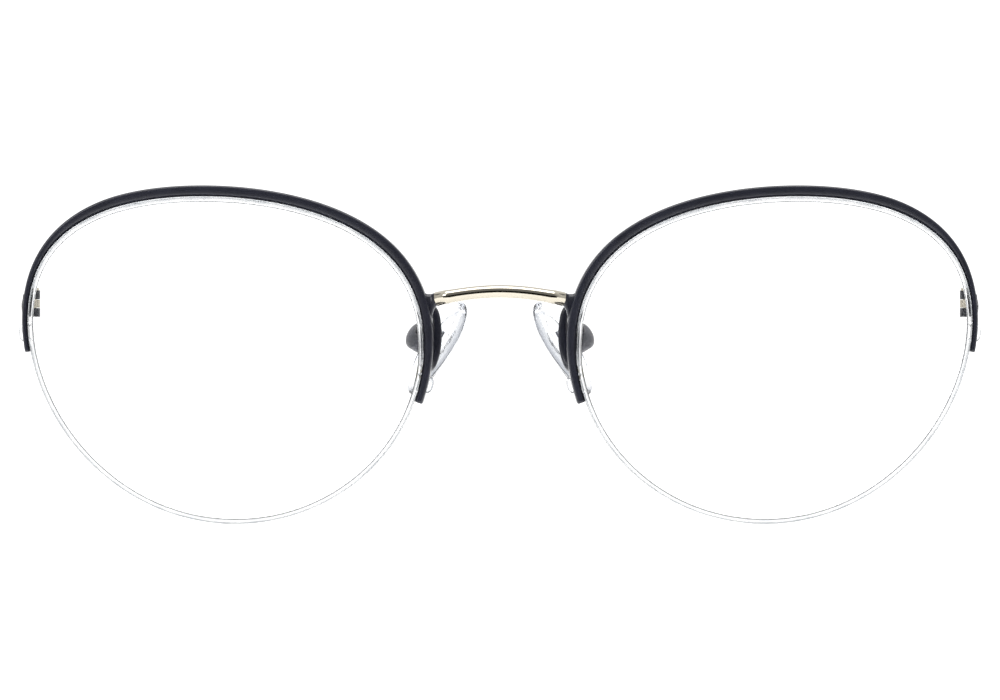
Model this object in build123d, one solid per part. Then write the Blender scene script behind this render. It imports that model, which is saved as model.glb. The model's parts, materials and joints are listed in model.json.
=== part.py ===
from build123d import *
import math
import os

# Half-rim spectacles, in millimetres. +X is the wearer's side to side, the lenses face -Y and
# the temples run back along +Y. Everything is drawn about the lens centre line (Z = 0) and
# is set down on the lowest point of the lenses and temple tips at the end.

# Lens boxing sizes
LENS_WIDTH = 54.0
LENS_HEIGHT = 44.4
LENS_GAP = 21.1
LENS_THICK = 2.0
FRONT_RADIUS = 106.0
WRAP_ANGLE = 4.0

# Lens outline: four quarter curves between the extreme points, u toward the temple, v up.
# A pull is the share of the way from an extreme point to the corner of the boxed lens.
TOP_SHIFT = 3.2
NOSE_RISE = 1.9
BOTTOM_SHIFT = -1.4
TEMPLE_RISE = 5.6
UPPER_TEMPLE_PULL = (0.801, 0.487)
UPPER_NOSE_PULL = (0.417, 0.803)
LOWER_NOSE_PULL = (0.539, 0.566)
LOWER_TEMPLE_PULL = (0.581, 0.475)
OUTLINE_STEPS = 12

# Rim
RIM_TOP = 1.5
RIM_TEMPLE_TIP = 0.75
RIM_NOSE_TIP = 1.1
RIM_LIP = 0.1
RIM_GAP = 0.05
RIM_TEMPLE_END = -0.11
RIM_TEMPLE_RAMP = 0.7
RIM_NOSE_RAMP = 1.6
RIM_NOSE_END = 2.2
CHANNEL_DEPTH = 0.35

# Lens groove, nylon liner above and nylon cord below
CORD_DIAMETER = 0.54
CORD_SIDE_GAP = 0.08
CORD_SINK = 0.06
FIT_GAP = 0.05
LINER_SIDE_GAP = 0.1
LINER_END_GAP = 1.2
CORD_RUN_ON = 0.5
HOLE_CLEARANCE = 0.06
HOLE_FROM_END = 1.7
HOLE_SPACING = 1.9
LOOP_ROUNDING = 0.3
LOOP_NOSE_GAP = 0.21
LOOP_TEMPLE_GAP = 0.04

# Bridge
BRIDGE_DIAMETER = 1.8
BRIDGE_END_INSET = 1.65
BRIDGE_HEIGHT = 8.1
BRIDGE_RISE = 1.65
BRIDGE_END_RISE = 0.2
BRIDGE_FORWARD = 1.3
BRIDGE_END_FORWARD = 0.2
BRIDGE_BOW_RADIUS = 22.0
BRIDGE_TURN = 1.5
BRIDGE_SEAT = 0.35
LUG_MARGIN = 0.1
LUG_DEPTH_MARGIN = 0.15
LUG_SHOULDER = (0.7, 0.35)
LUG_CROWN = 1.0
LUG_CHIN = (0.35, 0.5)
LUG_TAIL = (0.55, 2.2)

# Nose pads
PAD_LENGTH = 14.6
PAD_WIDTH = 8.0
PAD_THICK = 2.6
PAD_FRONT_ANGLE = 31.0
PAD_SPLAY = 28.0
PAD_BOX_OUT = 0.2
PAD_BOX_Y = 8.8
PAD_BOX_Z = 2.9
PAD_ROCK_GAP = 0.5
BOX_DIAMETER = 3.9
BOX_DEPTH = 1.9
BOX_DOME = 1.0
BOX_FLOOR = 0.1
BOSS_SHARE = 0.4
BOSS_GAP = 0.15
PAD_SCREW_DIAMETER = 0.9
PAD_SCREW_HEAD = 1.5
PAD_HEAD_HEIGHT = 0.45
SLOT_WIDTH = 0.25
PAD_LOW_SHARE = 0.27
PAD_ROUNDING = 0.36
CORE_LENGTH_SHARE = 0.34
CORE_WIDTH_SHARE = 0.275
CORE_THICK = 0.4
CORE_BURY = 0.5
STEM_LENGTH = 1.3
WIRE_DIAMETER = 1.1
WIRE_ROOT_HEIGHT = -1.9
WIRE_ROOT_SHARE = 0.6
WIRE_ROOT_BACK = 0.6
WIRE_BENDS = [(-0.3, 1.3, 0.2), (-0.75, 1.9, 5.0), (-0.7, 2.3, 8.9), (0.6, 3.0, 8.6)]
WIRE_RADII = [0.9, 6.0, 0.8, 0.8]
WIRE_LANDING = (0.4, -0.65)
WIRE_SINK = 0.4

# Endpiece, hinge and temple
ENDPIECE_OUT = 0.05
HINGE_Y = 15.6
HINGE_Z = 7.7
SPLAY = 2.7
KNUCKLE_RADIUS = 0.85
HINGE_HEIGHT = 3.6
KNUCKLE_GAP = 0.06
HINGE_SCREW_RADIUS = 0.4
HINGE_SCREW_FIT = 0.03
SCREW_HEAD_RADIUS = 0.7
SCREW_HEAD_HEIGHT = 0.35
LEAF_LENGTH = 4.6
HINGE_SIDE_GAP = 0.1
LEAF_THICK = 0.55
LEAF_EDGE = 0.6
LEAF_CLEAR = 0.2
STRAP_REACH = 1.2
STRAP_IN = 0.2
ARM_THICK = 0.8
ARM_HEIGHT = 2.8
ARM_END_HEIGHT = 1.7
ARM_LENGTH = 89.0
TAPER_START = 7.6
TAPER_END = 60.0
BUTT_GAP = 0.03
ENDPIECE_SINK = 0.4
TIP_START = 72.0
TIP_BEND = 96.0
TIP_WIDTH = 2.4
TIP_HEIGHT = 4.0
TIP_ROUNDING = 0.35
TIP_END_ROUNDING = 0.3
TIP_DROP_ANGLE = 46.0
TIP_BEND_RADIUS = 24.0

CENTRE_X = (LENS_GAP + LENS_WIDTH) / 2
PAD_BOX_X = LENS_GAP / 2 + PAD_BOX_OUT
BRIDGE_HALF = LENS_GAP / 2 - BRIDGE_END_INSET
GROOVE_WIDTH = CORD_DIAMETER + 2 * CORD_SIDE_GAP
GROOVE_DEPTH = CORD_DIAMETER + FIT_GAP + CORD_SINK
LINER_WIDTH = GROOVE_WIDTH - 2 * LINER_SIDE_GAP
GROOVE_MID = LENS_THICK / 2
RIM_FRONT = -RIM_LIP
RIM_BACK = LENS_THICK + RIM_LIP
BOSS_WIDTH = BOX_DIAMETER * BOSS_SHARE
ARM_OFFSET = KNUCKLE_RADIUS + HINGE_SIDE_GAP
HINGE_X = CENTRE_X + LENS_WIDTH / 2 + ENDPIECE_OUT - ARM_OFFSET
RUN_PAST = 30.0
TURN_STEP = 0.002


def quarter(index):
    """Start, two pull points and end of one quarter of the lens outline."""
    half_w = LENS_WIDTH / 2
    half_h = LENS_HEIGHT / 2
    ends = [(half_w, TEMPLE_RISE), (TOP_SHIFT, half_h), (-half_w, NOSE_RISE), (BOTTOM_SHIFT, -half_h)]
    corner = [(half_w, half_h), (-half_w, half_h), (-half_w, -half_h), (half_w, -half_h)][index]
    pulls = [UPPER_TEMPLE_PULL, UPPER_NOSE_PULL, LOWER_NOSE_PULL, LOWER_TEMPLE_PULL][index]
    start = ends[index]
    end = ends[(index + 1) % 4]
    first = [a + (c - a) * pulls[0] for a, c in zip(start, corner)]
    second = [a + (c - a) * pulls[1] for a, c in zip(end, corner)]
    return start, first, second, end


def edge_frame(t):
    """Point on the lens edge, its outward direction and its speed; t counts quarter turns."""
    turn = t % 4
    index = int(turn)
    s = turn - index
    p = quarter(index)
    point = []
    speed = []
    for axis in range(2):
        a, b, c, d = (corner[axis] for corner in p)
        point.append((1 - s) ** 3 * a + 3 * (1 - s) ** 2 * s * b + 3 * (1 - s) * s * s * c + s ** 3 * d)
        speed.append(3 * ((1 - s) ** 2 * (b - a) + 2 * (1 - s) * s * (c - b) + s * s * (d - c)))
    pace = math.hypot(*speed)
    return point, (speed[1] / pace, -speed[0] / pace), pace


def edge_point(t, out):
    """Point at a distance outside the lens edge, in the flat of the lens."""
    (u, v), (nu, nv), _ = edge_frame(t)
    return (u + nu * out, v + nv * out)


def walk(t, distance):
    """Move along the lens edge by a short distance."""
    return t + distance / edge_frame(t)[2]


def rim_thickness(t):
    """The rim is thickest over the brow and thins to both of its ends."""
    def ease(x):
        x = min(1.0, max(0.0, x))
        return x * x * (3 - 2 * x)
    temple_part = RIM_TEMPLE_TIP + (RIM_TOP - RIM_TEMPLE_TIP) * ease(t / RIM_TEMPLE_RAMP)
    nose_share = ease((t - RIM_NOSE_RAMP) / (RIM_NOSE_END - RIM_NOSE_RAMP))
    nose_loss = (RIM_TOP - RIM_NOSE_TIP) * nose_share
    return temple_part - nose_loss


def depth_at(u, v, behind):
    """Depth of a point a distance behind the front surface of the lens."""
    radius = FRONT_RADIUS - behind
    return FRONT_RADIUS - math.sqrt(radius ** 2 - u ** 2 - v ** 2)


def ball(behind):
    """Solid ball whose face lies a distance behind the front surface of the lens."""
    return Pos(0, FRONT_RADIUS, 0) * Sphere(FRONT_RADIUS - behind)


def shell(front, back):
    return ball(front) - ball(back)


def raise_flat(wire_points_closed):
    """Extrude a flat outline, given as edges in the XZ plane, through the lens depth."""
    return extrude(make_face(wire_points_closed), RUN_PAST / 2, dir=(0, 1, 0), both=True)


def span(start, end, out):
    """Spline along the lens edge from start to end at a distance outside it."""
    count = max(4, math.ceil(abs(end - start) * OUTLINE_STEPS))
    points = []
    for i in range(count + 1):
        t = start + (end - start) * i / count
        distance = out(t) if callable(out) else out
        u, v = edge_point(t, distance)
        points.append((u, 0, v))
    return Spline(*points)


def band(start, end, inner, outer, front, back):
    """Strip along the lens edge between two distances outside it and two depths."""
    low = span(start, end, inner)
    high = span(start, end, outer)
    sides = [Line(low @ 0, high @ 0), Line(low @ 1, high @ 1)]
    return raise_flat(low + high + sides) & shell(front, back)


def lens_blank(out):
    points = []
    for i in range(4 * OUTLINE_STEPS):
        u, v = edge_point(i / OUTLINE_STEPS, out)
        points.append((u, 0, v))
    outline = Spline(*points, periodic=True)
    return raise_flat(outline)


def groove_point(t, out):
    """Point in line with the groove, at a distance outside the lens edge."""
    u, v = edge_point(t, out)
    return (u, depth_at(*edge_point(t, 0), GROOVE_MID), v)


def radial_cylinder(t, radius, start, end):
    """Round bar square to the lens edge, at the depth of the groove."""
    _, (nu, nv), _ = edge_frame(t)
    plane = Plane(origin=groove_point(t, start), z_dir=(nu, 0, nv))
    return plane * Cylinder(radius, end - start, align=(Align.CENTER, Align.CENTER, Align.MIN))


def place(solid):
    """From the flat of the lens to its place on the +X side."""
    return Pos(CENTRE_X, 0, 0) * Rot(0, 0, WRAP_ANGLE) * solid


NOSE_HOLES = [walk(RIM_NOSE_END, -HOLE_FROM_END), walk(RIM_NOSE_END, -HOLE_FROM_END - HOLE_SPACING)]
TEMPLE_HOLES = [walk(RIM_TEMPLE_END, HOLE_FROM_END), walk(RIM_TEMPLE_END, HOLE_FROM_END + HOLE_SPACING)]
HOLE_RADIUS = CORD_DIAMETER / 2 + HOLE_CLEARANCE


def rim_outer(t):
    return RIM_GAP + rim_thickness(t)


def rim_cut():
    """Room for the lens, the liner channel and the four cord holes."""
    half = GROOVE_WIDTH / 2
    room = lens_blank(RIM_GAP) & shell(RIM_FRONT - RIM_TOP, RIM_BACK + RIM_TOP)
    room += lens_blank(RIM_GAP + CHANNEL_DEPTH) & shell(GROOVE_MID - half, GROOVE_MID + half)
    for t in NOSE_HOLES + TEMPLE_HOLES:
        room += radial_cylinder(t, HOLE_RADIUS, 0, 2 * RIM_TOP)
    return room


def build_rim():
    bar = band(RIM_TEMPLE_END, RIM_NOSE_END, 0, rim_outer, RIM_FRONT, RIM_BACK)
    return place(bar) + build_lug() - place(rim_cut())


def build_lens():
    half = GROOVE_WIDTH / 2
    blank = lens_blank(0.0) & shell(0.0, LENS_THICK)
    ring = lens_blank(GROOVE_DEPTH) - lens_blank(-GROOVE_DEPTH)
    return blank - (ring & shell(GROOVE_MID - half, GROOVE_MID + half))


def build_liner():
    start = walk(TEMPLE_HOLES[1], LINER_END_GAP)
    end = walk(NOSE_HOLES[1], -LINER_END_GAP)
    half = LINER_WIDTH / 2
    return band(start, end, FIT_GAP - GROOVE_DEPTH, RIM_GAP + CHANNEL_DEPTH - FIT_GAP,
                GROOVE_MID - half, GROOVE_MID + half)


def cord_loop(holes, gap):
    """The end of the cord goes out of one rim hole and back in by the next."""
    t_in, t_out = holes
    low = -GROOVE_DEPTH / 2
    high = rim_outer(t_in) + gap + CORD_DIAMETER / 2
    corners = [groove_point(t_in, low), groove_point(t_in, high),
               groove_point(t_out, high), groove_point(t_out, low)]
    path = FilletPolyline(*corners, radius=HOLE_SPACING * LOOP_ROUNDING)
    start = Plane(origin=path @ 0, z_dir=path % 0)
    return sweep(start * Circle(CORD_DIAMETER / 2), path=path)


def build_cord():
    start = walk(NOSE_HOLES[1], -CORD_RUN_ON)
    end = walk(TEMPLE_HOLES[1] + 4, CORD_RUN_ON)
    half = CORD_DIAMETER / 2
    inner = FIT_GAP - GROOVE_DEPTH
    run = band(start, end, inner, inner + CORD_DIAMETER, GROOVE_MID - half, GROOVE_MID + half)
    return run + cord_loop(NOSE_HOLES, LOOP_NOSE_GAP) + cord_loop(TEMPLE_HOLES, LOOP_TEMPLE_GAP)


def bridge_path():
    """Bow between the lugs, its ends turned back toward the rims."""
    flat_y = LUG_Y - BRIDGE_FORWARD
    points = [(BRIDGE_HALF + BRIDGE_SEAT, LUG_Y - BRIDGE_END_FORWARD, BRIDGE_HEIGHT),
              (BRIDGE_HALF - BRIDGE_TURN, flat_y, BRIDGE_HEIGHT + BRIDGE_END_RISE),
              (0, flat_y, BRIDGE_HEIGHT + BRIDGE_RISE)]
    points += [(-x, y, z) for x, y, z in points[-2::-1]]
    return FilletPolyline(*points, radius=[BRIDGE_TURN, BRIDGE_BOW_RADIUS, BRIDGE_TURN])


def turn_at_height(height, start, way):
    """Place on the lens edge at a height, looked for downward (way -1) or upward (way 1)."""
    t = start
    while (height - edge_point(t, 0)[1]) * way > 0:
        t += TURN_STEP
    return t


def rim_spot(t, out, behind):
    """Point of the rim on the +X side, by its place round the lens and its depth."""
    u, v = edge_point(t, out)
    return place(Pos(u, depth_at(u, v, behind), v) * Sphere(RIM_TOP)).center()


LUG_SPOT = rim_spot(turn_at_height(BRIDGE_HEIGHT, 1.5, -1), RIM_TOP / 2, GROOVE_MID)
LUG_Y = LUG_SPOT.Y


def build_lug():
    """Small three-cornered web that carries the bridge on the rim, tapering down the rim."""
    outer = LUG_SPOT.X + LUG_MARGIN
    top = BRIDGE_HEIGHT + BRIDGE_DIAMETER / 2 + LUG_MARGIN
    low = BRIDGE_HEIGHT - BRIDGE_DIAMETER / 2 - LUG_MARGIN
    corners = [(outer, 0, top + LUG_CROWN), (outer - LUG_SHOULDER[0], 0, top + LUG_SHOULDER[1]),
               (BRIDGE_HALF, 0, top), (BRIDGE_HALF, 0, low),
               (BRIDGE_HALF + LUG_CHIN[0], 0, low - LUG_CHIN[1]),
               (outer - LUG_TAIL[0], 0, low - LUG_TAIL[1]), (outer, 0, low - LUG_TAIL[1] - LUG_MARGIN)]
    reach = BRIDGE_DIAMETER / 2 + LUG_DEPTH_MARGIN
    web = extrude(make_face(Polyline(*corners, close=True)), reach, dir=(0, 1, 0), both=True)
    return Pos(0, LUG_Y, 0) * web


def pad_frame():
    """Plane at the pad screw: x runs up the pad, y across it and z toward the nose."""
    front = math.radians(PAD_FRONT_ANGLE)
    splay = math.radians(PAD_SPLAY)
    along = (-math.sin(front), 0, math.cos(front))
    face = (-math.cos(splay) * math.cos(front), math.sin(splay), -math.cos(splay) * math.sin(front))
    return Plane(origin=(PAD_BOX_X, PAD_BOX_Y, PAD_BOX_Z), x_dir=along, z_dir=face)


PAD = pad_frame()
BOX_FACE = BOX_DEPTH / 2
PAD_BACK = BOX_FACE + PAD_ROCK_GAP


def build_pad_box():
    """Round cup with a domed back and a slot for the pad's boss."""
    cup = Cylinder(BOX_DIAMETER / 2, BOX_DEPTH)
    dome_radius = (BOX_DIAMETER ** 2 / 4 + BOX_DOME ** 2) / (2 * BOX_DOME)
    dome = Pos(0, 0, dome_radius - BOX_FACE - BOX_DOME) * Sphere(dome_radius)
    dome &= Pos(0, 0, -BOX_FACE - BOX_DOME / 2) * Cylinder(BOX_DIAMETER / 2, BOX_DOME)
    slot = Pos(0, 0, BOX_FLOOR) * Box(2 * BOX_DIAMETER, BOSS_WIDTH + 2 * BOSS_GAP, BOX_DEPTH)
    bore = Rot(90, 0, 0) * Cylinder(PAD_SCREW_DIAMETER / 2, 2 * BOX_DIAMETER)
    return PAD * (cup + dome - slot - bore)


def build_pad_screw():
    """Shank across the cup with a domed head on its front side."""
    side = BOX_DIAMETER / 2
    shank = Rot(90, 0, 0) * Cylinder(PAD_SCREW_DIAMETER / 2, 2 * side)
    head = Rot(90, 0, 0) * Cylinder(PAD_SCREW_HEAD / 2, PAD_HEAD_HEIGHT)
    head = Pos(0, side + PAD_HEAD_HEIGHT / 2, 0) * head
    slot = Pos(0, side + PAD_HEAD_HEIGHT, 0) * Box(SLOT_WIDTH, PAD_HEAD_HEIGHT, 2 * PAD_SCREW_HEAD)
    return PAD * (shank + head - slot)


def build_pad_core():
    """Plate moulded into the pad, and the boss that turns on the screw."""
    radius = BOX_FACE - BOX_FLOOR - BOSS_GAP
    top = PAD_BACK + CORE_BURY + CORE_THICK
    boss = Rot(90, 0, 0) * Cylinder(radius, BOSS_WIDTH)
    stem = Pos(0, 0, top / 2) * Box(STEM_LENGTH, BOSS_WIDTH, top)
    plate = Box(PAD_LENGTH * CORE_LENGTH_SHARE, PAD_WIDTH * CORE_WIDTH_SHARE, CORE_THICK)
    plate = Pos(0, 0, top - CORE_THICK / 2) * plate
    bore = Rot(90, 0, 0) * Cylinder(PAD_SCREW_DIAMETER / 2 + FIT_GAP, 2 * BOSS_WIDTH)
    return PAD * (boss + stem + plate - bore)


def build_nose_pad(core):
    """Drop-shaped soft pad, wide at the top, with crowned faces."""
    top_radius = PAD_WIDTH / 2
    low_radius = PAD_WIDTH * PAD_LOW_SHARE
    top = Pos(PAD_LENGTH / 2 - top_radius, 0) * Circle(top_radius)
    low = Pos(low_radius - PAD_LENGTH / 2, 0) * Circle(low_radius)
    flat = make_hull((top + low).edges())
    body = Pos(0, 0, PAD_BACK) * extrude(flat, PAD_THICK)
    rim_edges = body.edges().group_by(Axis.Z)[-1] + body.edges().group_by(Axis.Z)[0]
    body = fillet(rim_edges, PAD_THICK * PAD_ROUNDING)
    return PAD * body - core


def build_pad_arm(rim, box):
    """Bent wire from the back of the rim, over and down to the back of the pad box."""
    spot = rim_spot(turn_at_height(WIRE_ROOT_HEIGHT, 2.0, -1), RIM_NOSE_TIP * WIRE_ROOT_SHARE,
                    GROOVE_MID + WIRE_ROOT_BACK)
    points = [(spot.X, spot.Y, spot.Z)]
    for across, back, up in WIRE_BENDS:
        points.append((spot.X + across, spot.Y + back, spot.Z + up))
    side = BOX_DIAMETER / 2
    landing = Pos(side * WIRE_LANDING[0], side * WIRE_LANDING[1], -BOX_FACE - WIRE_SINK)
    points.append(tuple((PAD.location * landing).position))
    path = FilletPolyline(*points, radius=WIRE_RADII)
    start = Plane(origin=path @ 0, z_dir=path % 0)
    wire = sweep(start * Circle(WIRE_DIAMETER / 2), path=path)
    return wire - rim - box


def hinge_frame():
    return Pos(HINGE_X, HINGE_Y, HINGE_Z) * Rot(0, 0, -SPLAY)


def block(a0, a1, b0, b1, z0, z1):
    return Pos((a0 + a1) / 2, (b0 + b1) / 2, (z0 + z1) / 2) * Box(a1 - a0, b1 - b0, z1 - z0)


PLATE_IN = ARM_OFFSET
PLATE_OUT = ARM_OFFSET + ARM_THICK
HALF_HINGE = HINGE_HEIGHT / 2
MID_HALF = HINGE_HEIGHT / 6
BARE_LEAF = KNUCKLE_RADIUS + LEAF_CLEAR


def build_endpiece(rim):
    """Flat bar from the outer side of the rim back to the hinge."""
    spot = rim_spot(turn_at_height(HINGE_Z, 4.0, 1), RIM_TEMPLE_TIP / 2, RIM_BACK)
    front = spot.Y - ENDPIECE_SINK - HINGE_Y
    bar = block(PLATE_IN, PLATE_OUT, front, -BUTT_GAP, -ARM_HEIGHT / 2, ARM_HEIGHT / 2)
    return hinge_frame() * bar - rim


def knuckle(low, high):
    return Pos(0, 0, (low + high) / 2) * Cylinder(KNUCKLE_RADIUS, high - low)


def leaf(levels, way):
    """Knuckles at the given levels on a plate; way is -1 toward the front and 1 toward the ear."""
    plate_far = way * LEAF_LENGTH
    plate_near = way * BARE_LEAF
    b0, b1 = sorted((plate_near, plate_far))
    edge = HALF_HINGE - LEAF_EDGE
    body = block(ARM_OFFSET - LEAF_THICK, ARM_OFFSET, b0, b1, -edge, edge)
    for low, high in levels:
        c0, c1 = sorted((0, way * (BARE_LEAF + STRAP_REACH)))
        body += knuckle(low, high) + block(-STRAP_IN, KNUCKLE_RADIUS, c0, c1, low, high)
    return body - Cylinder(HINGE_SCREW_RADIUS + HINGE_SCREW_FIT, 2 * HINGE_HEIGHT)


def build_hinge_front():
    levels = [(-HALF_HINGE, -MID_HALF), (MID_HALF, HALF_HINGE)]
    return hinge_frame() * leaf(levels, -1)


def build_hinge_temple():
    levels = [(-MID_HALF + KNUCKLE_GAP, MID_HALF - KNUCKLE_GAP)]
    return hinge_frame() * leaf(levels, 1)


def build_hinge_screw():
    shank = Cylinder(HINGE_SCREW_RADIUS, HINGE_HEIGHT)
    head = Pos(0, 0, HALF_HINGE + SCREW_HEAD_HEIGHT / 2) * Cylinder(SCREW_HEAD_RADIUS, SCREW_HEAD_HEIGHT)
    slot = Box(3 * SCREW_HEAD_RADIUS, SLOT_WIDTH, SCREW_HEAD_HEIGHT)
    slot = Pos(0, 0, HALF_HINGE + SCREW_HEAD_HEIGHT) * slot
    return hinge_frame() * (shank + head - slot)


def build_temple():
    """Flat arm that tapers toward the ear."""
    half = ARM_HEIGHT / 2
    end = ARM_END_HEIGHT / 2
    side = [(0, BUTT_GAP, -half), (0, BUTT_GAP, half), (0, TAPER_START, half), (0, TAPER_END, end),
            (0, ARM_LENGTH, end), (0, ARM_LENGTH, -end), (0, TAPER_END, -end), (0, TAPER_START, -half)]
    face = make_face(Polyline(*side, close=True))
    return hinge_frame() * Pos(PLATE_IN, 0, 0) * extrude(face, ARM_THICK, dir=(1, 0, 0))


def build_tip(arm):
    """Clear end cover: straight over the arm, then bent down behind the ear."""
    floor = -LENS_HEIGHT / 2 - HINGE_Z
    drop = math.radians(TIP_DROP_ANGLE)
    half = TIP_HEIGHT / 2
    run = (-floor - half) / math.tan(drop) + half * math.sin(drop)
    path = FilletPolyline((0, TIP_START, 0), (0, TIP_BEND, 0), (0, TIP_BEND + run, floor + half),
                          radius=TIP_BEND_RADIUS)
    start = Plane(origin=path @ 0, z_dir=path % 0, x_dir=(1, 0, 0))
    section = start * RectangleRounded(TIP_WIDTH, TIP_HEIGHT, TIP_WIDTH * TIP_ROUNDING)
    cover = sweep(section, path=path)
    end = cover.faces().sort_by(Axis.Y)[-1]
    cover = fillet(end.edges(), TIP_WIDTH * TIP_END_ROUNDING)
    return hinge_frame() * Pos(PLATE_IN + ARM_THICK / 2, 0, 0) * cover - arm


def build_side():
    """Every piece of the +X side."""
    rim = build_rim()
    lens = place(build_lens())
    liner = place(build_liner())
    cord = place(build_cord())
    core = build_pad_core()
    box = build_pad_box()
    arm = build_temple()
    return {"rim": rim, "lens": lens, "groove_liner": liner, "nylon_cord": cord,
            "pad_arm": build_pad_arm(rim, box), "pad_box": box, "pad_screw": build_pad_screw(),
            "pad_core": core, "nose_pad": build_nose_pad(core), "endpiece": build_endpiece(rim),
            "hinge_front": build_hinge_front(), "hinge_temple": build_hinge_temple(),
            "hinge_screw": build_hinge_screw(), "temple": arm, "temple_tip": build_tip(arm)}


def build_all():
    side = build_side()
    parts = {}
    for name, solid in side.items():
        parts["right_" + name] = solid
        parts["left_" + name] = mirror(solid, about=Plane.YZ)
    path = bridge_path()
    start = Plane(origin=path @ 0, z_dir=path % 0)
    wire = sweep(start * Circle(BRIDGE_DIAMETER / 2), path=path)
    parts["bridge"] = wire - parts["right_rim"] - parts["left_rim"]
    return parts


def write(parts):
    """Set the assembly down on Z = 0, centred in plan, and write one file per piece."""
    whole = Compound(children=[solid.solids()[0] for solid in parts.values()]).bounding_box()
    shift = (0, -(whole.min.Y + whole.max.Y) / 2, -whole.min.Z)
    os.makedirs("parts", exist_ok=True)
    for name, solid in parts.items():
        export_step(Pos(*shift) * solid, os.path.join("parts", name + ".step"))
    print("shift", shift)
    print("size", whole.size)
    print("hinge axis", HINGE_X, HINGE_Y + shift[1], HINGE_Z + shift[2])
    print("pad axis at", PAD_BOX_X, PAD_BOX_Y + shift[1], PAD_BOX_Z + shift[2], "along", PAD.y_dir)


write(build_all())
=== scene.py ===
import json
import math

import bpy
import numpy as np
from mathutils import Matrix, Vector


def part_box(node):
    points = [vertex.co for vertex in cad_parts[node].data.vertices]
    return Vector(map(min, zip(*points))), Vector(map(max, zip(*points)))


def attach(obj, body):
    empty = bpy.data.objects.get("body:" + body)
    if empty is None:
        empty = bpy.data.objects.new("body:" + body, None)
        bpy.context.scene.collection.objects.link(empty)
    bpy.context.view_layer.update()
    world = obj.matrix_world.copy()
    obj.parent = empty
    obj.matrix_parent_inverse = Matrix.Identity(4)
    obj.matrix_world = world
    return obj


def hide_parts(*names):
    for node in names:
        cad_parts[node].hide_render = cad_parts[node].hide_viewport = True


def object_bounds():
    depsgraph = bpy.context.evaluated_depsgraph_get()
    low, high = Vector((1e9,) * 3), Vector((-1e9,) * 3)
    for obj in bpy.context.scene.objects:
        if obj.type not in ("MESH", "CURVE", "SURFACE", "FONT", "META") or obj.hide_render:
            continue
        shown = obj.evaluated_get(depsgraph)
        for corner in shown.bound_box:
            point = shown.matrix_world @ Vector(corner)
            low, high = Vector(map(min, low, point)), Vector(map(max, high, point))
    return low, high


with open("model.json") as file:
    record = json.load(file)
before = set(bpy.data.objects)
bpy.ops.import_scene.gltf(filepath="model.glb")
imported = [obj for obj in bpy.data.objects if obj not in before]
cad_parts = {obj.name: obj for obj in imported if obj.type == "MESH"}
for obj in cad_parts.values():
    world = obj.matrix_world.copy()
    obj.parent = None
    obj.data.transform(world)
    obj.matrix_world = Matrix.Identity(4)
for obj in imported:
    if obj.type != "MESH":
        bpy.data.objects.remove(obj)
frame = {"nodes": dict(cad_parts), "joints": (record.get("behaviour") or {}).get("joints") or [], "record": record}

bl_info = {
    "name": "Half Rim Eyeglasses",
    "version": (1, 0, 0),
    "blender": (4, 5, 0),
    "location": "View3D > Sidebar > Eyeglasses",
    "description": "Builds half rim eyeglasses around a fixed frame, piece by piece",
    "category": "Add Mesh",
}

CAD_BOX = [list(corner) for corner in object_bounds()]
MM = 0.001
SIDES = {"right": 1.0, "left": -1.0}
JOINTS = {joint["name"]: joint for joint in frame["joints"]}
BODY_OF = {node: body for body, nodes in frame["record"]["behaviour"]["bodies"].items() for node in nodes}


def node_box(node):
    """Lowest and highest corner of a node in millimetres."""
    low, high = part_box(node)
    return np.array(low) / MM, np.array(high) / MM


# The lens outline, in millimetres about the lens centre: u toward the temple, v up
LENS_LOW, LENS_HIGH = node_box("right_lens")
LENS_HEIGHT = float(LENS_HIGH[2] - LENS_LOW[2])
LENS_WIDTH = 54.0
TEMPLE_POINT_UP = 5.6
TOP_POINT_OUT = 3.2
NOSE_POINT_UP = 1.9
BOTTOM_POINT_OUT = -1.4
CORNER_PULLS = ((0.801, 0.487), (0.417, 0.803), (0.539, 0.566), (0.581, 0.475))
LENS_THICK = 2.0
FRONT_RADIUS = 106.0
WRAP = math.radians(4.0)
GROOVE_MID = LENS_THICK / 2
GROOVE_DEPTH = 0.8
LENS_BEVEL = 0.18

# The rim, its ends counted in quarter turns from the temple point, and what lies in its channel
RIM_GAP = 0.05
RIM_START = -0.11
RIM_STOP = 2.2
RIM_TEMPLE_THICK = 0.75
RIM_BROW_THICK = 1.5
RIM_NOSE_THICK = 1.1
RIM_END_ROUND = 0.3
RIM_ROUNDING = 0.34
LIP_THICK = 0.32
CHANNEL_HALF = 0.33
CHANNEL_DEPTH = 0.35
LINER_SINK = 0.6
LINER_HALF = 0.25
CORD_SINK = 0.33
HOLE_FROM_END = 1.7
HOLE_SPACING = 1.9

# Where the front, the pads and the hinges stand
FOLD = [value / MM for value in JOINTS["right_temple_fold"]["pos_m"]]
PAD_AT = [value / MM for value in JOINTS["right_pad_rock"]["pos_m"]]
HINGE_BACK = 15.6
HINGE_UP = 7.7
SET_BACK = FOLD[1] - HINGE_BACK
CENTRE_UP = FOLD[2] - HINGE_UP
LENS_GAP = 21.1
CENTRE_OUT = (LENS_GAP + LENS_WIDTH) / 2
SPLAY = math.radians(2.7)
BRIDGE_SEAT_BACK = float(node_box("bridge")[0][1]) - SET_BACK + 2.25
BRIDGE_RADIUS = 0.9

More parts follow.
